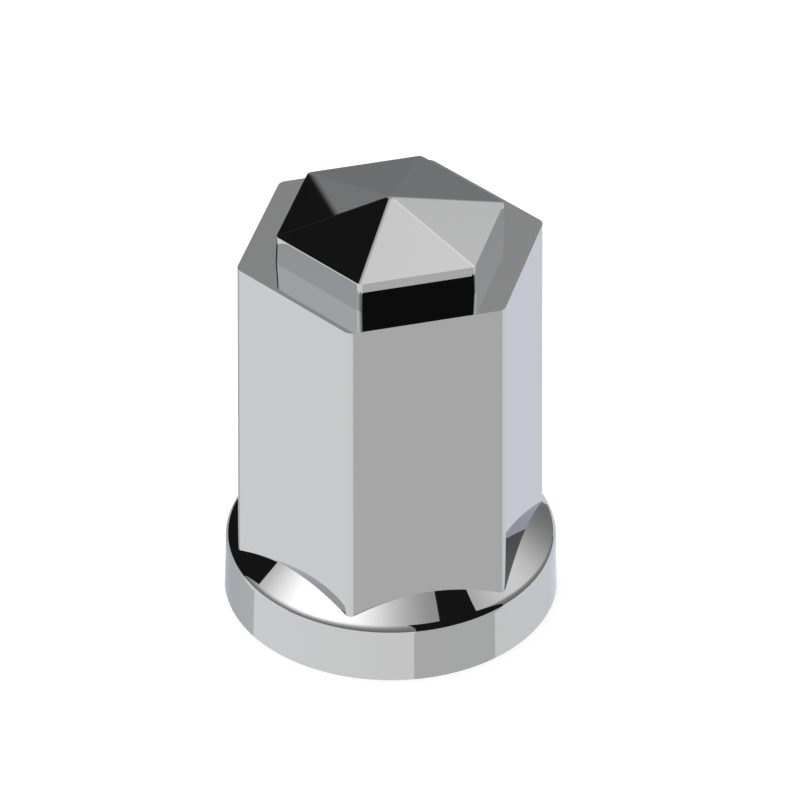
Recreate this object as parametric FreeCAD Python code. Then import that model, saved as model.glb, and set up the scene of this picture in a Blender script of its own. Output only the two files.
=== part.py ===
"""Push-on cover cap for a 33 mm flanged wheel nut.

One moulded, chrome-plated piece: a drafted hexagonal sleeve on a round skirt
whose shoulder slopes down to a rolled rim, closed on top by a flat ledge, a
smaller hexagonal boss and a low six-sided pyramid. It is hollow: a round
recess in the skirt clears the nut's washer, and twelve ribs in the hexagonal
sleeve grip the flats of the nut.

Millimetres. The origin is the centre of the skirt's flat lower face and +Z is
up the cap. Two corners of the hexagon lie on the X axis.
"""

import FreeCAD
import Part

import math
import os

# the nut that the cap is pushed onto
nut_across_flats = 33.0
washer_diameter = 45.8
washer_clearance = 0.4

# skirt, its sloping shoulder and its rolled rim
skirt_diameter = 50.6
skirt_draft = 1.9
shoulder_slope = 38.3
shoulder_gauge_radius = 22.1
shoulder_gauge_height = 11.42
rim_radius = 1.65

# hexagonal sleeve, measured at its flat ledge
ledge_height = 61.4
sleeve_across_flats = 40.5
sleeve_draft = 0.63
sleeve_edge_radius = 1.9

# hexagonal boss on the ledge, measured where its pyramid starts
boss_across_flats = 30.0
boss_height = 4.6
boss_draft = 2.4
boss_edge_radius = 0.8
pyramid_height = 4.05
pyramid_ridge_radius = 1.7

# inside of the moulding
wall = 2.0
inner_edge_radius = 0.5

# ribs that grip the nut, two on each flat
ribs_per_flat = 2
rib_spacing = 12.0
rib_thickness = 1.2
rib_start_height = 13.0
rib_length = 27.0
rib_lead_in = 3.0

NODE = "nut_cover_cap"
FLATS = 6
UP = FreeCAD.Vector(0, 0, 1)


def radians_tan(degrees):
    return math.tan(math.radians(degrees))


def sleeve_flats_at(height):
    """Across flats of the sleeve's outside, which widens towards the skirt."""
    return sleeve_across_flats + 2 * (ledge_height - height) * radians_tan(sleeve_draft)


def shoulder_height_at(radius):
    """Height of the sloping shoulder's outside at a radius."""
    return shoulder_gauge_height - (radius - shoulder_gauge_radius) * radians_tan(shoulder_slope)


def hexagon(across_flats, height):
    """Closed hexagonal wire with two of its corners on the X axis."""
    corner_radius = across_flats / 2 / math.cos(math.pi / FLATS)
    turns = [2 * math.pi * k / FLATS for k in range(FLATS)]
    corners = [
        FreeCAD.Vector(corner_radius * math.cos(turn), corner_radius * math.sin(turn), height)
        for turn in turns
    ]
    return Part.makePolygon(corners + corners[:1])


def hexagonal_prism(low_flats, low_height, high_flats, high_height, edge_radius):
    """Drafted hexagonal prism with its six upright edges rounded."""
    prism = Part.makeLoft([hexagon(low_flats, low_height), hexagon(high_flats, high_height)], True, True)
    upright = [edge for edge in prism.Edges if edge.BoundBox.ZLength > (high_height - low_height) / 2]
    return prism.makeFillet(edge_radius, upright)


def pyramid(foot_height, drop, ridge_radius):
    """Six-sided pyramid of the top's slope, from foot_height to its apex.

    drop lowers its facets, and a ridge_radius above nothing rounds its ridges
    and its tip. Towards its foot it is wider than the boss it caps.
    """
    apex_height = ledge_height + boss_height + pyramid_height - drop
    rise_per_run = pyramid_height / (boss_across_flats / 2)
    base = hexagon(2 * (apex_height - foot_height) / rise_per_run, foot_height)
    corners = [vertex.Point for vertex in base.OrderedVertexes]
    apex = FreeCAD.Vector(0, 0, apex_height)
    sides = [
        Part.Face(Part.makePolygon([corners[k], corners[(k + 1) % FLATS], apex, corners[k]]))
        for k in range(FLATS)
    ]
    block = Part.makeSolid(Part.makeShell(sides + [Part.Face(base)]))
    if not ridge_radius:
        return block
    ridges = [edge for edge in block.Edges if edge.BoundBox.ZLength > (apex_height - foot_height) / 2]
    return block.makeFillet(ridge_radius, ridges)


def boss(foot_height, inset, edge_radius, ridge_radius):
    """Drafted boss from foot_height up to its pyramid, moved inwards by inset."""
    boss_top = ledge_height + boss_height
    column_top = boss_top + pyramid_height

    def flats_at(height):
        return boss_across_flats - 2 * inset + 2 * (boss_top - height) * radians_tan(boss_draft)

    column = hexagonal_prism(
        flats_at(foot_height), foot_height, flats_at(column_top), column_top, edge_radius
    )
    slope = math.atan(pyramid_height / (boss_across_flats / 2))
    return column.common(pyramid(foot_height, inset / math.cos(slope), ridge_radius))


def turned(points, arc=None):
    """Solid of revolution about Z from (radius, height) points.

    arc is an optional (index, middle point): the edge that leaves the point of
    that index is an arc through the middle point.
    """
    places = [FreeCAD.Vector(radius, 0, height) for radius, height in points]
    edges = []
    for k, place in enumerate(places):
        following = places[(k + 1) % len(places)]
        if arc and arc[0] == k:
            middle = FreeCAD.Vector(arc[1][0], 0, arc[1][1])
            edges.append(Part.Arc(place, middle, following).toShape())
        else:
            edges.append(Part.LineSegment(place, following).toShape())
    return Part.Face(Part.Wire(edges)).revolve(FreeCAD.Vector(), UP, 360)


def skirt_outside():
    """Skirt and sloping shoulder, joined by the rolled rim, filled to the axis.

    The rim's centre lies one rim radius inside both the drafted wall and the
    sloping shoulder, so that the arc is tangent to both.
    """
    base_radius = skirt_diameter / 2
    lean = math.radians(skirt_draft)
    slope = math.radians(shoulder_slope)
    wall_offset = base_radius * math.cos(lean) - rim_radius
    shoulder_offset = (
        shoulder_gauge_radius * math.sin(slope) + shoulder_gauge_height * math.cos(slope) - rim_radius
    )
    # two lines: r cos(lean) + z sin(lean) = wall_offset, r sin(slope) + z cos(slope) = shoulder_offset
    determinant = math.cos(lean) * math.cos(slope) - math.sin(lean) * math.sin(slope)
    centre_radius = (wall_offset * math.cos(slope) - shoulder_offset * math.sin(lean)) / determinant
    centre_height = (shoulder_offset * math.cos(lean) - wall_offset * math.sin(slope)) / determinant

    def rim_point(elevation):
        return (
            centre_radius + rim_radius * math.cos(elevation),
            centre_height + rim_radius * math.sin(elevation),
        )

    shoulder_elevation = math.pi / 2 - slope
    inside_radius = sleeve_across_flats / 2 - sleeve_edge_radius
    outline = [
        (0, 0),
        (base_radius, 0),
        rim_point(lean),
        rim_point(shoulder_elevation),
        (inside_radius, shoulder_height_at(inside_radius)),
        (0, shoulder_height_at(inside_radius)),
    ]
    return turned(outline, arc=(2, rim_point((lean + shoulder_elevation) / 2)))


def recess_radius():
    return washer_diameter / 2 + washer_clearance


def recess_roof_at(radius):
    """Height of the recess's sloping roof, one wall below the shoulder."""
    return shoulder_height_at(radius) - wall / math.cos(math.radians(shoulder_slope))


def skirt_recess():
    """Round recess for the nut's washer, with a sloping roof below the shoulder."""
    below_face = -wall
    edge = (recess_radius(), recess_roof_at(recess_radius()))
    inside_radius = sleeve_across_flats / 2 - wall - sleeve_edge_radius
    roof_top = recess_roof_at(inside_radius)
    return turned([(0, below_face), (recess_radius(), below_face), edge, (inside_radius, roof_top), (0, roof_top)])


def outside():
    """Whole outer form, solid."""
    foot_height = recess_roof_at(recess_radius())
    sleeve = hexagonal_prism(
        sleeve_flats_at(foot_height), foot_height, sleeve_across_flats, ledge_height, sleeve_edge_radius
    )
    return skirt_outside().fuse([sleeve, boss(ledge_height, 0, boss_edge_radius, pyramid_ridge_radius)])


def hollow():
    """Everything that is open inside: recess, hexagonal socket and boss space."""
    foot_height = recess_roof_at(recess_radius())
    roof_height = ledge_height - wall
    socket = hexagonal_prism(
        sleeve_flats_at(foot_height) - 2 * wall,
        foot_height,
        sleeve_flats_at(roof_height) - 2 * wall,
        roof_height,
        inner_edge_radius,
    )
    return skirt_recess().fuse([socket, boss(roof_height - wall, wall, inner_edge_radius, 0)])


def grip_rib(shift):
    """One rib on the flat that faces +Y, moved along the flat by shift.

    Its tip lies on the nut's flat, its root in the middle of the wall, and
    both ends slope back to the wall.
    """
    end_height = rib_start_height + rib_length
    tip = nut_across_flats / 2

    def root(height):
        return sleeve_flats_at(height) / 2 - wall / 2

    side = [
        (root(rib_start_height), rib_start_height),
        (tip, rib_start_height + rib_lead_in),
        (tip, end_height - rib_lead_in),
        (root(end_height), end_height),
    ]
    places = [FreeCAD.Vector(shift - rib_thickness / 2, reach, height) for reach, height in side]
    profile = Part.Face(Part.makePolygon(places + places[:1]))
    return profile.extrude(FreeCAD.Vector(rib_thickness, 0, 0))


def grip_ribs():
    """Ribs of all six flats."""
    ribs = []
    for flat in range(FLATS):
        for row in range(ribs_per_flat):
            rib = grip_rib((row - (ribs_per_flat - 1) / 2) * rib_spacing)
            rib.rotate(FreeCAD.Vector(), UP, 360 / FLATS * flat)
            ribs.append(rib)
    return ribs


def nut_cover_cap():
    shell = outside().cut(hollow())
    return shell.fuse(grip_ribs()).removeSplitter()


os.makedirs("parts", exist_ok=True)
cap = nut_cover_cap()
solids = cap.Solids
cap = solids[0]
box = cap.optimalBoundingBox()
print(f"solids {len(solids)} valid {cap.isValid()} faces {len(cap.Faces)}")
print(f"box {box.XLength:.2f} x {box.YLength:.2f} x {box.ZLength:.2f} mm, bottom {box.ZMin:.3f}")
print(f"volume {cap.Volume / 1000:.2f} cm3, area {cap.Area / 100:.1f} cm2")
cap.exportStep(f"parts/{NODE}.step")
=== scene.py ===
"""Chrome cover cap for a flanged wheel nut, in the studio of its picture.

The cap is one closed skin. It is worked out in bands along its profile: from
the tip of the hollow down the socket to the skirt's lower face, and from there
up the outside to the point on top. Every band is a grid of two parameters, the
way round and the way along the profile, with the normals of its own surface,
so that flats mirror as flats and rounded edges mirror smoothly.

Metres. The origin is the centre of the skirt's lower face, +Z is up the cap,
and two corners of the hexagon lie on the X axis.
"""

import logging
import math
from collections.abc import Callable
from dataclasses import dataclass, field
from enum import Enum

import bpy
import numpy as np
from mathutils import Matrix, Vector

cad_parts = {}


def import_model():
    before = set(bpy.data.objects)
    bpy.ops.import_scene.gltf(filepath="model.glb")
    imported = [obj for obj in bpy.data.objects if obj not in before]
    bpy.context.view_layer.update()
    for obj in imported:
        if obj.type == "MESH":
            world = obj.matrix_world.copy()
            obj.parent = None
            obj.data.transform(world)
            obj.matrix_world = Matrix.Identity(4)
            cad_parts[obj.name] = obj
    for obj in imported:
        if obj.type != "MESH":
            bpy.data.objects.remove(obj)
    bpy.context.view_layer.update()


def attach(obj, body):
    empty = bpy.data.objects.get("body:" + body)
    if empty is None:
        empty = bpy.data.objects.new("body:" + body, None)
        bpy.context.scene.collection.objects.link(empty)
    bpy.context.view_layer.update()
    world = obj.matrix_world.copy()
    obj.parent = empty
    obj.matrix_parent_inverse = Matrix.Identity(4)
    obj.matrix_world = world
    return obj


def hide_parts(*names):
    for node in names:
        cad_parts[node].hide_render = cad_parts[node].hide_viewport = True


LOG = logging.getLogger("nut_cover_cap")
MILLIMETRE = 0.001
FLATS = 6
HALF_TURN_PER_FLAT = math.pi / FLATS
WALL = 2.0 * MILLIMETRE
INNER_EDGE_RADIUS = 0.5 * MILLIMETRE
MEETING_ROUNDS = 12
WELD_DISTANCE = 1e-8
ALMOST_NOTHING = np.finfo(float).tiny
ZENITH = 90.0
NADIR = -90.0
FLAG_BLACK = (0.0125, 0.0125, 0.0125)


class Side(Enum):
    """Which side of the moulding a band of the skin lies on."""

    OUTSIDE = 0
    INSIDE = 1


@dataclass
class Band:
    """One strip of the skin.

    points has a row for each step along the profile and a column for each step
    round it. normals has the same shape, or is None where the strip is made of
    plain facets.
    """

    points: np.ndarray
    normals: np.ndarray | None
    side: Side

    def corners(self) -> np.ndarray:
        """Places of every quad's four corners, anticlockwise seen from outside."""
        return self.quads(self.points)

    def corner_normals(self) -> np.ndarray:
        """Normals at every quad's four corners.

        A facet's normal is the cross product of its two diagonals, with a length of
        1. A quad that has shrunk to a line has none, and gives zeros.

        Returns:
            Quads by 4 by 3: the surface's own normals, or else those of the facets.
        """
        if self.normals is not None:
            return self.quads(self.normals)
        corners = self.corners()
        across = np.cross(corners[:, 2] - corners[:, 0], corners[:, 3] - corners[:, 1])
        length = np.linalg.norm(across, axis=1, keepdims=True)
        facet = across / np.maximum(length, ALMOST_NOTHING)
        return np.repeat(facet[:, None, :], 4, axis=1)

    @staticmethod
    def quads(grid: np.ndarray) -> np.ndarray:
        """Takes a value per grid point to a value per quad corner.

        Args:
            grid: rows by columns by 3; the last column joins up with the first.

        Returns:
            Quads by 4 by 3.
        """
        onwards = np.roll(grid, -1, axis=1)
        corners = [grid[:-1], onwards[:-1], onwards[1:], grid[1:]]
        return np.stack(corners, axis=2).reshape(-1, 4, 3)


@dataclass(frozen=True)
class WayRound:
    """The columns of the skin, which every band shares.

    Each of the six sides has a corner, whose columns fan out about the corner's
    centre, and then a flat. On a flat, the columns between the outer edges of
    the ribs keep their distance from the flat's middle, and those beyond spread
    evenly up to the corner. A rib's edge has two columns in one place, and the
    second of them steps in to the rib's tip where there is a rib.
    """

    corner_steps: int = 16
    beyond_steps: int = 14
    between_steps: int = 30
    rib_spacing: float = 12.0 * MILLIMETRE
    rib_thickness: float = 1.2 * MILLIMETRE

    def flat_columns(self) -> tuple[np.ndarray, np.ndarray, np.ndarray]:
        """Columns of one flat.

        Returns:
            Distance from the flat's middle, share of the stretch beyond the
            ribs, and 1 where the column steps in to a rib's tip.
        """
        outer = self.ribs_reach
        inner = (self.rib_spacing - self.rib_thickness) / 2
        between = np.linspace(-inner, inner, self.between_steps + 1)[1:-1]
        beyond = np.linspace(0, 1, self.beyond_steps + 1)[1:-1]
        rib = np.array([inner, inner, outer, outer])
        place = np.concatenate([
            np.full(beyond.size, -outer), -rib[::-1], between, rib, np.full(beyond.size, outer)
        ])
        share = np.concatenate([
            -beyond[::-1], np.zeros(2 * rib.size + between.size), beyond
        ])
        rib_tip = np.array([0, 1, 1, 0])
        none = np.zeros(beyond.size)
        tip = np.concatenate([none, rib_tip, np.zeros(between.size), rib_tip, none])
        return place, share, tip

    def columns(self) -> dict[str, np.ndarray]:
        """Every column once round.

        Returns:
            corner, the direction of the corner before it; turn, the direction
            that its normal points in; lean, the angle between the two;
            on_corner, true on the rounded edges; and place, share and tip, the
            flat_columns values, which are 0 on the rounded edges.
        """
        place, share, tip = self.flat_columns()
        fan = np.linspace(-HALF_TURN_PER_FLAT, HALF_TURN_PER_FLAT, self.corner_steps + 1)
        still = np.zeros(fan.size)
        lean = np.concatenate([fan, np.full(place.size, HALF_TURN_PER_FLAT)])
        corner = np.repeat(np.arange(FLATS) * 2 * HALF_TURN_PER_FLAT, lean.size)
        return {
            "corner": corner,
            "lean": np.tile(lean, FLATS),
            "turn": corner + np.tile(lean, FLATS),
            "on_corner": np.tile(np.arange(lean.size) < fan.size, FLATS),
            "place": np.tile(np.concatenate([still, place]), FLATS),
            "share": np.tile(np.concatenate([still, share]), FLATS),
            "tip": np.tile(np.concatenate([still, tip]), FLATS),
        }

    @property
    def ribs_reach(self) -> float:
        """Distance of a rib's outer edge from the middle of its flat."""
        return (self.rib_spacing + self.rib_thickness) / 2


WAY_ROUND = WayRound()
COLUMNS = WAY_ROUND.columns()


def unit(direction: np.ndarray) -> np.ndarray:
    """Unit vectors in the plan for directions in radians."""
    return np.stack([np.cos(direction), np.sin(direction)], axis=-1)


def lifted(plan: np.ndarray, heights: np.ndarray | float) -> np.ndarray:
    """Points from their places in the plan and their heights."""
    heights = np.broadcast_to(heights, plan.shape[:-1])
    return np.concatenate([plan, heights[..., None]], axis=-1)


def unit_length(vectors: np.ndarray) -> np.ndarray:
    """The same directions with a length of 1."""
    return vectors / np.linalg.norm(vectors, axis=-1, keepdims=True)


def polar_directions(points: np.ndarray) -> np.ndarray:
    """Directions of points seen from the axis, in radians."""
    return np.arctan2(points[..., 1], points[..., 0])


@dataclass(frozen=True)
class DraftedHexagon:
    """Upright hexagonal faces that lean in with height, with rounded edges.

    With a for half the width across flats, which falls by the draft's tangent
    with height, and r for the edge radius, a rounded edge's centre lies
    (a - r) / cos 30 from the axis, and its points lie r from that centre. A
    flat's points lie a from the axis, along the flat's normal. The width across
    flats is given at the gauge's height, and the draft in degrees.
    """

    gauge_flats: float
    gauge_height: float
    draft: float
    edge_radius: float

    def half_flats_at(self, heights: np.ndarray | float) -> np.ndarray | float:
        """Half the width across flats at one or more heights."""
        lean = math.tan(math.radians(self.draft))
        return self.gauge_flats / 2 + (self.gauge_height - heights) * lean

    def plan(self, heights: np.ndarray | float, rib_depth: np.ndarray | float = 0.0) -> np.ndarray:
        """Places of the columns at given heights.

        Args:
            heights: one height for all columns, or one for each.
            rib_depth: how far the columns of a rib's tip step in to the axis.

        Returns:
            Columns by 2, or rows by columns by 2.
        """
        half = self.half_flats_at(np.broadcast_to(heights, COLUMNS["turn"].shape))[..., None]
        normal = unit(COLUMNS["turn"])
        along = unit(COLUMNS["turn"] + math.pi / 2)
        centre = unit(COLUMNS["corner"]) * (half - self.edge_radius) / math.cos(HALF_TURN_PER_FLAT)
        rounded = centre + self.edge_radius * normal
        flat_end = (half - self.edge_radius) * math.tan(HALF_TURN_PER_FLAT)
        stretch = flat_end - WAY_ROUND.ribs_reach
        shift = COLUMNS["place"][:, None] + COLUMNS["share"][:, None] * stretch
        step_in = COLUMNS["tip"][:, None] * np.asarray(rib_depth)
        flat = (half - step_in) * normal + shift * along
        return np.where(COLUMNS["on_corner"][:, None], rounded, flat)

    def points(self, heights: np.ndarray | float, rib_depth: float = 0.0) -> np.ndarray:
        """Points of the columns at given heights, one row of the skin."""
        plan = self.plan(heights, rib_depth)
        return lifted(plan, heights)

    def normals(self) -> np.ndarray:
        """Outward normals of the columns.

        On a rounded edge the surface leans by tan(draft) cos(lean) / cos 30,
        where lean is the angle from the edge's middle, and on a flat by
        tan(draft), which is the same formula at 30 degrees.

        Returns:
            Columns by 3.
        """
        lean = np.cos(COLUMNS["lean"]) / math.cos(HALF_TURN_PER_FLAT)
        return unit_length(lifted(unit(COLUMNS["turn"]), math.tan(math.radians(self.draft)) * lean))

    def meeting_heights(
        self, height_over: Callable[[np.ndarray], np.ndarray], start: float
    ) -> np.ndarray:
        """Heights at which the columns meet another surface.

        The sides are nearly upright, so putting the other surface's height back
        in a few times settles on the meeting point.

        Args:
            height_over: gives the other surface's heights over places in the plan.
            start: a height near the meeting point.

        Returns:
            One height for each column.
        """
        heights = np.full(COLUMNS["turn"].shape, start)
        for _ in range(MEETING_ROUNDS):
            heights = height_over(self.plan(heights))
        return heights


@dataclass(frozen=True)
class Pyramid:
    """Low six-sided pyramid with softly rounded ridges.

    Its height falls from the tip by the rise per run times the distance along a
    facet's normal, which is cos 30 times the distance along the nearest ridge
    plus sin 30 times the distance across it. Where one of these distances, d,
    is less than its soft width w, it gives way to (d d + w w) / 2 w, which runs
    smoothly on into d. The two widths are as cos 30 to sin 30, so that the
    facets meet in line round the tip too.
    """

    tip_height: float
    rise_per_run: float
    ridge_radius: float

    @property
    def soft_width(self) -> float:
        """Half the width of a rounded ridge: its radius times tan(fold / 2).

        The fold is the angle between the normals of two neighbouring facets. A
        sharp ridge gets a width of almost nothing, which can still divide.

        Returns:
            The half width in the plan.
        """
        tilt = math.atan(self.rise_per_run)
        fold = math.acos(math.cos(tilt) ** 2 + math.sin(tilt) ** 2 * math.cos(2 * HALF_TURN_PER_FLAT))
        return max(self.ridge_radius * math.tan(fold / 2), ALMOST_NOTHING)

    @property
    def soft_length(self) -> float:
        """Distance along a ridge over which the tip is rounded."""
        return self.soft_width / math.tan(HALF_TURN_PER_FLAT)

    def along_and_across(self, plan: np.ndarray) -> tuple[np.ndarray, np.ndarray, np.ndarray]:
        """Splits places in the plan by their nearest ridge.

        Args:
            plan: places, with 2 as the last dimension.

        Returns:
            The ridge's direction, the distance along it and the signed distance
            across it.
        """
        step = 2 * HALF_TURN_PER_FLAT
        ridge = np.round(polar_directions(plan) / step) * step
        along = (plan * unit(ridge)).sum(-1)
        across = (plan * unit(ridge + math.pi / 2)).sum(-1)
        return ridge, along, across

    @staticmethod
    def softened(distance: np.ndarray, width: float) -> np.ndarray:
        """The distance, or its rounded form where it is less than the soft width."""
        return np.where(distance < width, (distance**2 + width**2) / (2 * width), distance)

    def height_over(self, plan: np.ndarray) -> np.ndarray:
        """Heights of the surface over places in the plan, by the class's formula.

        Args:
            plan: places, with 2 as the last dimension.

        Returns:
            A height for each place.
        """
        _, along, across = self.along_and_across(plan)
        fall_along = self.softened(along, self.soft_length) * math.cos(HALF_TURN_PER_FLAT)
        fall_across = self.softened(np.abs(across), self.soft_width) * math.sin(HALF_TURN_PER_FLAT)
        return self.tip_height - self.rise_per_run * (fall_along + fall_across)

    def normals_over(self, plan: np.ndarray) -> np.ndarray:
        """Normals of the surface over places in the plan.

        The slopes along and across the nearest ridge are those of the height's
        formula: d / w inside the soft width and 1 beyond it, as cos 30 to sin 30.

        Args:
            plan: places, with 2 as the last dimension.

        Returns:
            A unit normal for each place.
        """
        ridge, along, across = self.along_and_across(plan)
        lean_along = np.clip(along / self.soft_length, 0, 1) * math.cos(HALF_TURN_PER_FLAT)
        lean_across = np.clip(across / self.soft_width, -1, 1) * math.sin(HALF_TURN_PER_FLAT)
        slope = unit(ridge) * lean_along[..., None]
        slope += unit(ridge + math.pi / 2) * lean_across[..., None]
        return unit_length(lifted(slope * self.rise_per_run, 1.0))

    def points_over(self, plan: np.ndarray) -> np.ndarray:
        """Points of the surface over places in the plan."""
        return lifted(plan, self.height_over(plan))


@dataclass(frozen=True)
class Skirt:
    """Round skirt with its sloping shoulder, rolled rim and washer recess.

    The diameter is that of the lower face, and the gauge is a place that the
    shoulder's slope runs through. Draft and slope are in degrees.
    """

    diameter: float = 50.6 * MILLIMETRE
    draft: float = 1.9
    shoulder_slope: float = 38.3
    shoulder_gauge_radius: float = 22.1 * MILLIMETRE
    shoulder_gauge_height: float = 11.42 * MILLIMETRE
    rim_radius: float = 1.65 * MILLIMETRE
    rim_steps: int = 20
    recess_radius: float = 23.3 * MILLIMETRE
    wall: float = WALL

    def shoulder_height_over(self, plan: np.ndarray) -> np.ndarray:
        """Heights of the shoulder, which falls by its slope's tangent with the radius.

        Args:
            plan: places, with 2 as the last dimension.

        Returns:
            A height for each place.
        """
        slope = math.tan(math.radians(self.shoulder_slope))
        radius = np.linalg.norm(plan, axis=-1)
        return self.shoulder_gauge_height - (radius - self.shoulder_gauge_radius) * slope

    def roof_height_over(self, plan: np.ndarray) -> np.ndarray:
        """Heights of the recess's roof, which lies one wall below the shoulder."""
        upright_wall = self.wall / math.cos(math.radians(self.shoulder_slope))
        return self.shoulder_height_over(plan) - upright_wall

    def rim_centre(self) -> tuple[float, float]:
        """Radius and height of the centre of the rim's round section.

        It lies one rim radius inside both the drafted wall, r cos(d) + z sin(d) =
        R cos(d), and the shoulder, r sin(s) + z cos(s) = its value at the gauge.

        Returns:
            The radius and the height.
        """
        draft = math.radians(self.draft)
        slope = math.radians(self.shoulder_slope)
        faces = np.array([[math.cos(draft), math.sin(draft)], [math.sin(slope), math.cos(slope)]])
        gauge = np.array([self.shoulder_gauge_radius, self.shoulder_gauge_height])
        wall_offset = self.diameter / 2 * math.cos(draft)
        offsets = np.array([wall_offset, faces[1] @ gauge]) - self.rim_radius
        radius, height = np.linalg.solve(faces, offsets)
        return radius, height

    def turned(
        self,
        directions: np.ndarray,
        profile: np.ndarray,
        tilts: np.ndarray,
        side: Side,
    ) -> Band:
        """A band turned about the axis.

        A point lies its row's radius from the axis in its column's direction, at
        its row's height.

        Args:
            directions: the columns' directions, in radians.
            profile: a radius and a height for each row.
            tilts: for each row, the angle of its normal above the level.
            side: the side of the moulding.

        Returns:
            The band, with the normals of the turned surface.
        """
        radial = unit(directions)
        points = lifted(profile[:, 0, None, None] * radial, profile[:, 1, None])
        normals = lifted(np.cos(tilts)[:, None, None] * radial, np.sin(tilts)[:, None])
        return Band(points, normals, side)

    def outside_bands(self, foot: np.ndarray) -> list[Band]:
        """Wall, rim and shoulder.

        Args:
            foot: the line on which the sleeve meets the shoulder.

        Returns:
            The bands from the lower face up to that line.
        """
        directions = polar_directions(foot)
        centre_radius, centre_height = self.rim_centre()
        slope = math.radians(self.shoulder_slope)
        tilts = np.linspace(math.radians(self.draft), math.pi / 2 - slope, self.rim_steps + 1)
        arc = np.stack(
            [
                centre_radius + self.rim_radius * np.cos(tilts),
                centre_height + self.rim_radius * np.sin(tilts),
            ],
            axis=1,
        )
        base = np.array([[self.diameter / 2, 0.0]])
        wall = self.turned(directions, np.concatenate([base, arc[:1]]), tilts[[0, 0]], Side.OUTSIDE)
        rim = self.turned(directions, arc, tilts, Side.OUTSIDE)
        normals = lifted(math.sin(slope) * unit(directions), math.cos(slope))
        shoulder = Band(np.stack([rim.points[-1], foot]), np.stack([normals, normals]), Side.OUTSIDE)
        return [wall, rim, shoulder]

    def inside_bands(self, foot: np.ndarray, outer_foot: np.ndarray) -> list[Band]:
        """Recess roof, recess wall and lower face.

        Args:
            foot: the line on which the socket meets the recess's roof.
            outer_foot: the line on which the sleeve meets the shoulder, whose
                directions the lower face's outer edge takes.

        Returns:
            The bands from the socket to the skirt's outer edge.
        """
        radial = unit(polar_directions(foot))
        edge = self.recess_radius * radial
        roof_edge = lifted(edge, self.roof_height_over(edge))
        slope = math.radians(self.shoulder_slope)
        roof_normals = -lifted(math.sin(slope) * radial, math.cos(slope))
        wall_normals = -lifted(radial, 0.0)
        face_edge = lifted(edge, 0.0)
        outer_edge = lifted(self.diameter / 2 * unit(polar_directions(outer_foot)), 0.0)
        return [
            Band(np.stack([foot, roof_edge]), np.stack([roof_normals] * 2), Side.INSIDE),
            Band(np.stack([roof_edge, face_edge]), np.stack([wall_normals] * 2), Side.INSIDE),
            Band(np.stack([face_edge, outer_edge]), None, Side.OUTSIDE),
        ]


@dataclass(frozen=True)
class Sleeve:
    """Hexagonal sleeve outside, with the socket and its gripping ribs inside.

    The width across flats is that at the ledge, and the draft is in degrees.
    """

    across_flats: float = 40.5 * MILLIMETRE
    ledge_height: float = 61.4 * MILLIMETRE
    draft: float = 0.56
    edge_radius: float = 1.46 * MILLIMETRE
    inner_edge_radius: float = INNER_EDGE_RADIUS
    wall: float = WALL
    nut_across_flats: float = 33.0 * MILLIMETRE
    rib_start_height: float = 13.0 * MILLIMETRE
    rib_length: float = 27.0 * MILLIMETRE
    rib_lead_in: float = 3.0 * MILLIMETRE

    def outside(self) -> DraftedHexagon:
        """Outer faces of the sleeve."""
        return DraftedHexagon(self.across_flats, self.ledge_height, self.draft, self.edge_radius)

    def socket(self) -> DraftedHexagon:
        """Inner faces of the sleeve, one wall inside the outer ones."""
        inner_flats = self.across_flats - 2 * self.wall
        return DraftedHexagon(inner_flats, self.ledge_height, self.draft, self.inner_edge_radius)

    @property
    def roof_height(self) -> float:
        """Height of the socket's roof."""
        return self.ledge_height - self.wall

    def rib_rows(self) -> list[tuple[float, float]]:
        """Heights of the socket's rows between its roof and its foot.

        A rib's sloping end starts in the middle of the wall, half a wall behind its
        face, and comes out of it part of the way along. The first and the last row
        lie there: the share of the way is the depth behind the face over the whole
        change of depth up to the tip.

        Returns:
            A height and a rib depth for each row, from the top down.
        """
        socket = self.socket()
        tip = self.nut_across_flats / 2
        end_height = self.rib_start_height + self.rib_length
        rows = []
        for root_height, tip_height in (
            (end_height, end_height - self.rib_lead_in),
            (self.rib_start_height, self.rib_start_height + self.rib_lead_in),
        ):
            depth_at_root = -self.wall / 2
            depth_at_tip = socket.half_flats_at(tip_height) - tip
            share = -depth_at_root / (depth_at_tip - depth_at_root)
            surface_height = root_height + (tip_height - root_height) * share
            rows.append([(surface_height, 0.0), (tip_height, depth_at_tip)])
        return rows[0] + rows[1][::-1]

    def socket_band(self, foot_heights: np.ndarray) -> Band:
        """The socket's walls with their ribs.

        Args:
            foot_heights: heights at which the columns meet the recess's roof.

        Returns:
            The band from the socket's roof down to that line.
        """
        socket = self.socket()
        rows = [socket.points(self.roof_height)]
        rows += [socket.points(height, depth) for height, depth in self.rib_rows()]
        rows.append(socket.points(foot_heights))
        return Band(np.stack(rows), None, Side.INSIDE)

    def outside_band(self, foot: np.ndarray) -> Band:
        """The sleeve's outer faces.

        Args:
            foot: the line on which they meet the shoulder.

        Returns:
            The band from that line up to the ledge.
        """
        outside = self.outside()
        rim = outside.points(self.ledge_height)
        return Band(np.stack([foot, rim]), np.stack([outside.normals()] * 2), Side.OUTSIDE)


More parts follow.
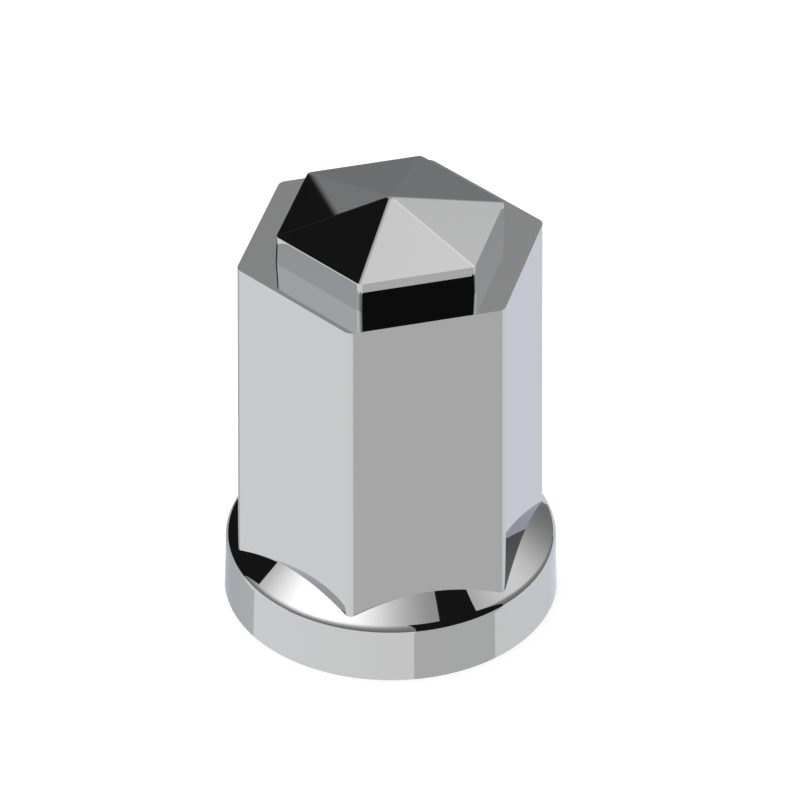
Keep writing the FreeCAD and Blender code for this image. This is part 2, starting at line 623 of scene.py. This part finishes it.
@dataclass(frozen=True)
class Boss:
    """Small hexagonal boss on the ledge, closed by a low pyramid, hollow inside.

    The width across flats is that where the pyramid starts, and the draft is in
    degrees.
    """

    across_flats: float = 30.0 * MILLIMETRE
    height: float = 4.6 * MILLIMETRE
    draft: float = 2.4
    edge_radius: float = 0.95 * MILLIMETRE
    pyramid_height: float = 4.05 * MILLIMETRE
    ridge_radius: float = 1.92 * MILLIMETRE
    inner_edge_radius: float = INNER_EDGE_RADIUS
    wall: float = WALL
    facet_steps: int = 24

    @property
    def rise_per_run(self) -> float:
        """Slope of the pyramid's facets."""
        return self.pyramid_height / (self.across_flats / 2)

    def outside(self, ledge_height: float) -> tuple[DraftedHexagon, Pyramid]:
        """Outer faces and the pyramid over them.

        Args:
            ledge_height: height of the ledge that the boss stands on.

        Returns:
            The upright faces and the pyramid.
        """
        top = ledge_height + self.height
        column = DraftedHexagon(self.across_flats, top, self.draft, self.edge_radius)
        return column, Pyramid(top + self.pyramid_height, self.rise_per_run, self.ridge_radius)

    def inside(self, ledge_height: float) -> tuple[DraftedHexagon, Pyramid]:
        """Inner faces and ceiling, one wall inside the outer ones.

        The ceiling lies one wall below the pyramid along its facets' normals, so
        its tip drops by the wall over the cosine of their slope.

        Args:
            ledge_height: height of the ledge that the boss stands on.

        Returns:
            The upright faces and the pyramid of the ceiling.
        """
        top = ledge_height + self.height
        column = DraftedHexagon(
            self.across_flats - 2 * self.wall, top, self.draft, self.inner_edge_radius
        )
        drop = self.wall / math.cos(math.atan(self.rise_per_run))
        return column, Pyramid(top + self.pyramid_height - drop, self.rise_per_run, 0.0)

    def outside_bands(self, ledge_height: float, ledge_edge: np.ndarray) -> list[Band]:
        """Ledge, boss faces and pyramid.

        Args:
            ledge_height: height of the ledge that the boss stands on.
            ledge_edge: the ledge's outer edge.

        Returns:
            The bands from the ledge's edge up to the point.
        """
        column, pyramid = self.outside(ledge_height)
        foot = column.points(ledge_height)
        rim_heights = column.meeting_heights(pyramid.height_over, ledge_height + self.height)
        rim = column.points(rim_heights)
        inwards = np.linspace(1, 0, self.facet_steps + 1)[:, None, None]
        plan = rim[None, :, :2] * inwards
        return [
            Band(np.stack([ledge_edge, foot]), None, Side.OUTSIDE),
            Band(np.stack([foot, rim]), np.stack([column.normals()] * 2), Side.OUTSIDE),
            Band(pyramid.points_over(plan), pyramid.normals_over(plan), Side.OUTSIDE),
        ]

    def inside_bands(self, ledge_height: float, roof_edge: np.ndarray) -> list[Band]:
        """Ceiling and faces of the boss's hollow, and the socket's roof.

        Args:
            ledge_height: height of the ledge that the boss stands on.
            roof_edge: the top edge of the socket.

        Returns:
            The bands from the hollow's tip down to the top of the socket.
        """
        column, pyramid = self.inside(ledge_height)
        rim_heights = column.meeting_heights(pyramid.height_over, ledge_height + self.height)
        rim = column.points(rim_heights)
        foot = column.points(roof_edge[0, 2])
        outwards = np.linspace(0, 1, 2)[:, None, None]
        ceiling = pyramid.points_over(rim[None, :, :2] * outwards)
        return [
            Band(ceiling, None, Side.INSIDE),
            Band(np.stack([rim, foot]), None, Side.INSIDE),
            Band(np.stack([foot, roof_edge]), None, Side.INSIDE),
        ]


@dataclass(frozen=True)
class MirrorChrome:
    """Bright decorative chrome, with the faint haze that wiping leaves on it."""

    name: str = "mirror_chrome"
    colour: tuple[float, float, float, float] = (0.521, 0.532, 0.552, 1.0)
    edge_tint: tuple[float, float, float, float] = (0.76, 0.77, 0.8, 1.0)
    clean_roughness: float = 0.008
    hazy_roughness: float = 0.018
    haze_size: float = 18.0
    haze_detail: float = 4.0
    haze_range: tuple[float, float] = (0.35, 0.7)

    def build(self) -> bpy.types.Material:
        """Makes the material: a metal whose roughness drifts over the surface.

        Soft noise within the haze's range takes the roughness from clean to hazy.

        Returns:
            The material.
        """
        material = bpy.data.materials.new(self.name)
        material.use_nodes = True
        nodes = material.node_tree.nodes
        links = material.node_tree.links
        shader = nodes["Principled BSDF"]
        shader.inputs["Base Color"].default_value = self.colour
        shader.inputs["Specular Tint"].default_value = self.edge_tint
        shader.inputs["Metallic"].default_value = 1.0
        place = nodes.new("ShaderNodeTexCoord")
        haze = nodes.new("ShaderNodeTexNoise")
        haze.inputs["Scale"].default_value = self.haze_size
        haze.inputs["Detail"].default_value = self.haze_detail
        spread = nodes.new("ShaderNodeMapRange")
        spread.inputs["From Min"].default_value = self.haze_range[0]
        spread.inputs["From Max"].default_value = self.haze_range[1]
        spread.inputs["To Min"].default_value = self.clean_roughness
        spread.inputs["To Max"].default_value = self.hazy_roughness
        links.new(place.outputs["Object"], haze.inputs["Vector"])
        links.new(haze.outputs["Fac"], spread.inputs["Value"])
        links.new(spread.outputs["Result"], shader.inputs["Roughness"])
        return material


@dataclass(frozen=True)
class DullPlate:
    """Thin, matt plating on the unpolished inside of the moulding."""

    name: str = "dull_plate"
    bright: tuple[float, float, float, float] = (0.62, 0.61, 0.6, 1.0)
    thin: tuple[float, float, float, float] = (0.42, 0.4, 0.37, 1.0)
    roughness: float = 0.38
    patch_size: float = 60.0

    def build(self) -> bpy.types.Material:
        """Makes the material: a matt metal that is thinner in patches.

        Returns:
            The material.
        """
        material = bpy.data.materials.new(self.name)
        material.use_nodes = True
        nodes = material.node_tree.nodes
        links = material.node_tree.links
        shader = nodes["Principled BSDF"]
        shader.inputs["Metallic"].default_value = 1.0
        shader.inputs["Roughness"].default_value = self.roughness
        place = nodes.new("ShaderNodeTexCoord")
        patches = nodes.new("ShaderNodeTexNoise")
        patches.inputs["Scale"].default_value = self.patch_size
        mix = nodes.new("ShaderNodeMix")
        mix.data_type = "RGBA"
        mix.inputs["A"].default_value = self.thin
        mix.inputs["B"].default_value = self.bright
        links.new(place.outputs["Object"], patches.inputs["Vector"])
        links.new(patches.outputs["Fac"], mix.inputs["Factor"])
        links.new(mix.outputs["Result"], shader.inputs["Base Color"])
        return material


@dataclass
class NutCoverCap:
    """The whole cap: one closed skin around skirt, sleeve, boss and hollow."""

    node: str = "nut_cover_cap"
    skirt: Skirt = field(default_factory=Skirt)
    sleeve: Sleeve = field(default_factory=Sleeve)
    boss: Boss = field(default_factory=Boss)

    def bands(self) -> list[Band]:
        """Works out every band of the skin.

        Returns:
            The bands, from the hollow's tip round to the point on top.
        """
        sleeve = self.sleeve
        near_foot = self.skirt.shoulder_gauge_height
        foot_heights = sleeve.outside().meeting_heights(self.skirt.shoulder_height_over, near_foot)
        foot = sleeve.outside().points(foot_heights)
        inner_foot_heights = sleeve.socket().meeting_heights(self.skirt.roof_height_over, near_foot)
        socket_band = sleeve.socket_band(inner_foot_heights)
        sleeve_band = sleeve.outside_band(foot)
        return [
            *self.boss.inside_bands(sleeve.ledge_height, socket_band.points[0]),
            socket_band,
            *self.skirt.inside_bands(socket_band.points[-1], foot),
            *self.skirt.outside_bands(foot),
            sleeve_band,
            *self.boss.outside_bands(sleeve.ledge_height, sleeve_band.points[-1]),
        ]

    def mesh(self) -> bpy.types.Mesh:
        """Welds the bands into one closed mesh that keeps their normals.

        Corners that lie in one place become one vertex. A quad that this leaves
        with three different corners becomes a triangle, and one with fewer goes.

        Returns:
            The mesh, whose material numbers are those of the sides.
        """
        bands = self.bands()
        corners = np.concatenate([band.corners() for band in bands])
        normals = np.concatenate([band.corner_normals() for band in bands])
        sides = np.concatenate([np.full(len(band.corners()), band.side.value) for band in bands])
        keys = np.round(corners.reshape(-1, 3) / WELD_DISTANCE).astype(np.int64)
        _, first, vertex = np.unique(keys, axis=0, return_index=True, return_inverse=True)
        vertex = vertex.reshape(-1, 4)
        keep = vertex != np.roll(vertex, -1, axis=1)
        real = keep.sum(axis=1) >= 3
        keep &= real[:, None]
        ends = np.cumsum(keep.sum(axis=1)[real])[:-1]
        faces = [face.tolist() for face in np.split(vertex[keep], ends)]
        mesh = bpy.data.meshes.new(self.node)
        mesh.from_pydata(corners.reshape(-1, 3)[first].tolist(), [], faces)
        mesh.polygons.foreach_set("material_index", sides[real].astype(np.int32))
        mesh.polygons.foreach_set("use_smooth", np.ones(len(faces), bool))
        mesh.update()
        mesh.normals_split_custom_set(normals[keep].tolist())
        return mesh

    def build(self) -> bpy.types.Object:
        """Makes the dressed cap in place of the plain one.

        Returns:
            The cap.
        """
        cap = bpy.data.objects.new(f"{self.node}_plated", self.mesh())
        bpy.context.scene.collection.objects.link(cap)
        cap.data.materials.append(MirrorChrome().build())
        cap.data.materials.append(DullPlate().build())
        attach(cap, "root")
        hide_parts(self.node)
        return cap


@dataclass(frozen=True)
class PictureCamera:
    """Long lens that looks down at the cap, as in the picture.

    It stands its turn to the right of -Y and its tilt above the level, and aims
    at a height on the axis. Then it moves to the right and up in its own plane.
    """

    turn: float = 45.0
    tilt: float = 35.98
    distance: float = 1.04412
    aim_height: float = 35.8 * MILLIMETRE
    aim_right: float = 1.372 * MILLIMETRE
    aim_up: float = -2.036 * MILLIMETRE
    sensor: float = 36.0
    lens: float = 315.25

    def build(self) -> bpy.types.Object:
        """Makes the camera and makes it the scene's own.

        Returns:
            The camera.
        """
        turn = math.radians(self.turn)
        tilt = math.radians(self.tilt)
        back = Vector((
            math.sin(turn) * math.cos(tilt), -math.cos(turn) * math.cos(tilt), math.sin(tilt)
        ))
        right = Vector((math.cos(turn), math.sin(turn), 0.0))
        up = back.cross(right)
        place = Vector((0.0, 0.0, self.aim_height)) + back * self.distance
        place += right * self.aim_right + up * self.aim_up
        data = bpy.data.cameras.new("picture_camera")
        data.sensor_width = self.sensor
        data.lens = self.lens
        camera = bpy.data.objects.new("picture_camera", data)
        axes = Matrix((right, up, back)).transposed()
        camera.matrix_world = Matrix.Translation(place) @ axes.to_4x4()
        bpy.context.scene.collection.objects.link(camera)
        bpy.context.scene.camera = camera
        return camera


@dataclass(frozen=True)
class Glow:
    """Light behind the dome that fades away from its middle as a bell curve.

    Bearings are seen from above, in degrees clockwise from the picture's right,
    so that 90 is the camera's side, and elevations are in degrees above the
    level. A strength below nothing is a shade, which takes light away.
    """

    bearing: float
    elevation: float
    spread: float
    strength: float
    tint: tuple[float, float, float] = (1.0, 1.0, 1.0)

    def over(self, bearings: np.ndarray, elevations: np.ndarray) -> np.ndarray:
        """Colours at given directions: strength times exp(-(angle / spread)^2 / 2).

        Args:
            bearings: bearings in degrees.
            elevations: elevations in degrees, in the same shape.

        Returns:
            A colour for each direction.
        """
        height = math.radians(self.elevation)
        level = np.cos(np.radians(elevations)) * math.cos(height)
        cosine = np.sin(np.radians(elevations)) * math.sin(height)
        cosine = cosine + level * np.cos(np.radians(bearings - self.bearing))
        angle = np.degrees(np.arccos(np.clip(cosine, -1, 1)))
        brightness = self.strength * np.exp(-((angle / self.spread) ** 2) / 2)
        return brightness[..., None] * np.array(self.tint)


@dataclass(frozen=True)
class Card:
    """A card of the studio, bent round the cap between two bearings.

    Bearings and elevations are given as a glow's are. Its colour runs straight
    from the first bearing to the last, and its top rises by its slant, in
    degrees of elevation for each degree of bearing.
    """

    name: str
    bearings: tuple[float, float]
    elevations: tuple[float, float]
    first_colour: tuple[float, float, float]
    last_colour: tuple[float, float, float]
    distance: float = 12.0
    slant: float = 0.0

    def tops(self, bearings: np.ndarray) -> np.ndarray:
        """Elevations of the top at given bearings: the stated one is that of its middle."""
        return self.elevations[1] + self.slant * (bearings - sum(self.bearings) / 2)

    def colours(self, bearings: np.ndarray, elevations: np.ndarray) -> np.ndarray:
        """Colours at given directions, which are the same at every elevation.

        Args:
            bearings: bearings in degrees.
            elevations: elevations in degrees, in the same shape.

        Returns:
            A colour for each direction.
        """
        first, last = self.bearings
        share = ((bearings - first) / (last - first))[..., None]
        return np.array(self.first_colour) * (1 - share) + np.array(self.last_colour) * share


@dataclass(frozen=True)
class Dome:
    """The pale dome over the studio, lit by its glows and dark at the horizon."""

    name: str = "studio_dome"
    distance: float = 14.0
    bearings: tuple[float, float] = (0.0, 360.0)
    elevations: tuple[float, float] = (-12.0, ZENITH)
    plain: float = 0.265
    rise: float = 0.115
    horizon_loss: float = 0.2
    horizon_height: float = 4.0
    glows: tuple[Glow, ...] = (
        # large soft lights above
        Glow(bearing=156.0, elevation=57.3, spread=21.2, strength=1.85),
        Glow(bearing=319.5, elevation=50.6, spread=16.4, strength=1.52),
        Glow(bearing=342.0, elevation=56.0, spread=13.3, strength=0.39),
        # faint light low over the far side
        Glow(bearing=275.0, elevation=6.0, spread=28.0, strength=0.022, tint=(0.55, 0.7, 1.0)),
        Glow(bearing=266.0, elevation=3.0, spread=7.0, strength=0.019),
        # shades
        Glow(bearing=300.5, elevation=34.0, spread=3.8, strength=-0.062),
        Glow(bearing=48.0, elevation=62.0, spread=5.0, strength=-0.042),
        # faint light at the edge of the table
        Glow(bearing=296.0, elevation=-2.5, spread=4.2, strength=0.08),
        Glow(bearing=326.5, elevation=-2.5, spread=4.5, strength=0.06),
    )

    def tops(self, bearings: np.ndarray) -> np.ndarray:
        """Elevations of the top at given bearings."""
        return np.full(bearings.shape, self.elevations[1])

    def colours(self, bearings: np.ndarray, elevations: np.ndarray) -> np.ndarray:
        """Colours at given directions.

        The plain level rises evenly to the zenith, the glows are added to it, and
        near the horizon it loses a share that fades as exp(-elevation / height).

        Args:
            bearings: bearings in degrees.
            elevations: elevations in degrees, in the same shape.

        Returns:
            A colour for each direction.
        """
        height = np.maximum(elevations, 0)[..., None]
        light = np.repeat(self.plain + self.rise * height / ZENITH, 3, axis=-1)
        for glow in self.glows:
            light = light + glow.over(bearings, elevations)
        return light * (1 - self.horizon_loss * np.exp(-height / self.horizon_height))


@dataclass(frozen=True)
class Studio:
    """Pale floor, soft light, and the surround that the chrome mirrors.

    The surround is seen by mirrored rays alone: it neither lights the floor nor
    shows to the camera. It stands far off, so that the whole cap mirrors it from
    nearly one place. The warm tint lamp_colour tints all of it, and the grid's
    step is the size of its faces in degrees. The floor's lift is a glow that the
    camera alone sees, which takes the pale floor to white.
    """

    floor_size: float = 60.0
    floor_colour: tuple[float, float, float, float] = (0.9, 0.9, 0.9, 1.0)
    floor_lift: float = 0.36
    camera_bearing: float = 45.0
    grid_step: float = 1.5
    lamp_colour: tuple[float, float, float] = (1.076, 1.053, 1.015)
    dome: Dome = field(default_factory=Dome)
    cards: tuple[Card, ...] = (
        Card("flag_front_right", (14.9, 74.4), (-10.5, 61.01), FLAG_BLACK, FLAG_BLACK, slant=0.076),
        Card("flag_left", (197.1, 253.95), (-6.0, 54.3), FLAG_BLACK, FLAG_BLACK),
        Card("flag_left_edge", (253.95, 254.006), (-6.0, 54.3), (0.022,) * 3, (0.305,) * 3),
        # painted highlight: a lighter patch on the left flag, there only so that a ridge of the pyramid
        # mirrors it as a thin bright line
        Card("flag_left_glint_patch", (248.5, 253.5), (27.5, 36.0), (0.036,) * 3, (0.036,) * 3, distance=11.5),
        Card("table_front_right", (14.4, 74.4), (NADIR, -10.5), (0.67, 0.68, 0.68), (0.68,) * 3),
        Card("table_front", (74.4, 158.0), (NADIR, -9.8), (0.98,) * 3, (1.03, 1.04, 1.05)),
        Card("table_front_left", (158.0, 198.6), (NADIR, -6.5), (1.03, 1.04, 1.05), (1.05, 1.07, 1.09)),
        Card("table_left", (198.6, 262.0), (NADIR, -6.0), (0.74, 0.75, 0.76), (0.72, 0.72, 0.8)),
        Card("table_back", (262.0, 278.0), (NADIR, -4.5), (1.8,) * 3, (1.8,) * 3),
        Card(
            "table_far_right", (278.0, 312.0), (NADIR, -3.5),
            (1.02, 1.05, 1.14), (1.0, 1.02, 1.08), slant=0.25,
        ),
        Card(
            "table_right", (312.0, 374.4), (NADIR, -6.2),
            (1.0, 1.02, 1.08), (0.95, 0.96, 0.96), slant=-0.031,
        ),
    )

    def surround_piece(self, part: Dome | Card) -> bpy.types.Object:
        """Bends a part of the surround over a grid of bearings and elevations.

        A point lies at the part's distance times (cos e cos t, cos e sin t, sin e),
        where e is its elevation and t the camera's bearing less its own. Each
        column runs evenly from the part's low edge up to its top.

        Args:
            part: the dome or a card, with its distance, bearings, elevations and
                colours.

        Returns:
            The piece, whose colours lie in its points.
        """
        first, last = part.bearings
        low, high = part.elevations
        columns = max(2, math.ceil((last - first) / self.grid_step) + 1)
        rows = max(2, math.ceil((high - low) / self.grid_step) + 1)
        bearings, share = np.meshgrid(np.linspace(first, last, columns), np.linspace(0, 1, rows))
        elevations = low + (part.tops(bearings) - low) * share
        turn = np.radians(self.camera_bearing - bearings)
        level = np.cos(np.radians(elevations))
        points = part.distance * np.stack(
            [level * np.cos(turn), level * np.sin(turn), np.sin(np.radians(elevations))], axis=-1
        )
        index = np.arange(rows * columns).reshape(rows, columns)
        faces = np.stack([index[:-1, :-1], index[1:, :-1], index[1:, 1:], index[:-1, 1:]], axis=-1)
        mesh = bpy.data.meshes.new(part.name)
        mesh.from_pydata(points.reshape(-1, 3).tolist(), [], faces.reshape(-1, 4).tolist())
        colours = part.colours(bearings, elevations).reshape(-1, 3) * np.array(self.lamp_colour)
        opaque = np.concatenate([colours, np.ones((len(colours), 1))], axis=1)
        attribute = mesh.color_attributes.new("brightness", "FLOAT_COLOR", "POINT")
        attribute.data.foreach_set("color", opaque.ravel())
        piece = bpy.data.objects.new(part.name, mesh)
        bpy.context.scene.collection.objects.link(piece)
        piece.visible_camera = False
        piece.visible_diffuse = False
        piece.visible_shadow = False
        return piece

    def surround_material(self) -> bpy.types.Material:
        """Makes the surround's material, which glows with the colours of its points.

        Returns:
            The material.
        """
        material = bpy.data.materials.new("surround_glow")
        material.use_nodes = True
        material.cycles.emission_sampling = "NONE"
        nodes = material.node_tree.nodes
        nodes.clear()
        colours = nodes.new("ShaderNodeVertexColor")
        colours.layer_name = "brightness"
        glow = nodes.new("ShaderNodeEmission")
        output = nodes.new("ShaderNodeOutputMaterial")
        material.node_tree.links.new(colours.outputs["Color"], glow.inputs["Color"])
        material.node_tree.links.new(glow.outputs["Emission"], output.inputs["Surface"])
        return material

    def floor_material(self) -> bpy.types.Material:
        """Makes the floor's material: pale, and lifted to white for the camera.

        Returns:
            The material.
        """
        material = bpy.data.materials.new("pale_floor")
        material.use_nodes = True
        nodes = material.node_tree.nodes
        links = material.node_tree.links
        shader = nodes["Principled BSDF"]
        shader.inputs["Base Color"].default_value = self.floor_colour
        shader.inputs["Roughness"].default_value = 1.0
        shader.inputs["Specular IOR Level"].default_value = 0.0
        shader.inputs["Emission Color"].default_value = (1.0, 1.0, 1.0, 1.0)
        rays = nodes.new("ShaderNodeLightPath")
        lift = nodes.new("ShaderNodeMath")
        lift.operation = "MULTIPLY"
        lift.inputs[1].default_value = self.floor_lift
        links.new(rays.outputs["Is Camera Ray"], lift.inputs[0])
        links.new(lift.outputs[0], shader.inputs["Emission Strength"])
        return material

    def floor_piece(self) -> bpy.types.Object:
        """Lays the floor under the cap.

        Returns:
            The floor, which mirrored rays do not see.
        """
        half = self.floor_size / 2
        corners = [(-half, -half, 0.0), (half, -half, 0.0), (half, half, 0.0), (-half, half, 0.0)]
        mesh = bpy.data.meshes.new("floor")
        mesh.from_pydata(corners, [], [(0, 1, 2, 3)])
        mesh.materials.append(self.floor_material())
        floor = bpy.data.objects.new("floor", mesh)
        bpy.context.scene.collection.objects.link(floor)
        floor.visible_glossy = False
        return floor

    def build_world(self) -> None:
        """Fills the studio with even white light."""
        world = bpy.data.worlds.new("soft_light")
        world.use_nodes = True
        background = world.node_tree.nodes["Background"]
        background.inputs["Color"].default_value = (1.0, 1.0, 1.0, 1.0)
        background.inputs["Strength"].default_value = 1.0
        bpy.context.scene.world = world

    def build(self) -> list[bpy.types.Object]:
        """Builds floor, light and surround.

        Returns:
            The floor and the pieces of the surround.
        """
        floor = self.floor_piece()
        self.build_world()
        glow = self.surround_material()
        surround = [self.surround_piece(part) for part in (self.dome, *self.cards)]
        for piece in surround:
            piece.data.materials.append(glow)
        return [floor, *surround]


def main() -> None:
    """Builds the cap, then the studio round it and the camera, and logs what it made."""
    logging.basicConfig(level=logging.INFO, format="%(name)s: %(message)s")
    bpy.context.scene.view_settings.view_transform = "Standard"
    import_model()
    cap = NutCoverCap().build()
    LOG.info("%s: %d faces", cap.name, len(cap.data.polygons))
    for piece in Studio().build():
        LOG.info("studio: %s", piece.name)
    camera = PictureCamera().build()
    LOG.info("%s: %.0f mm lens", camera.name, camera.data.lens)


if __name__ == "__main__":
    main()
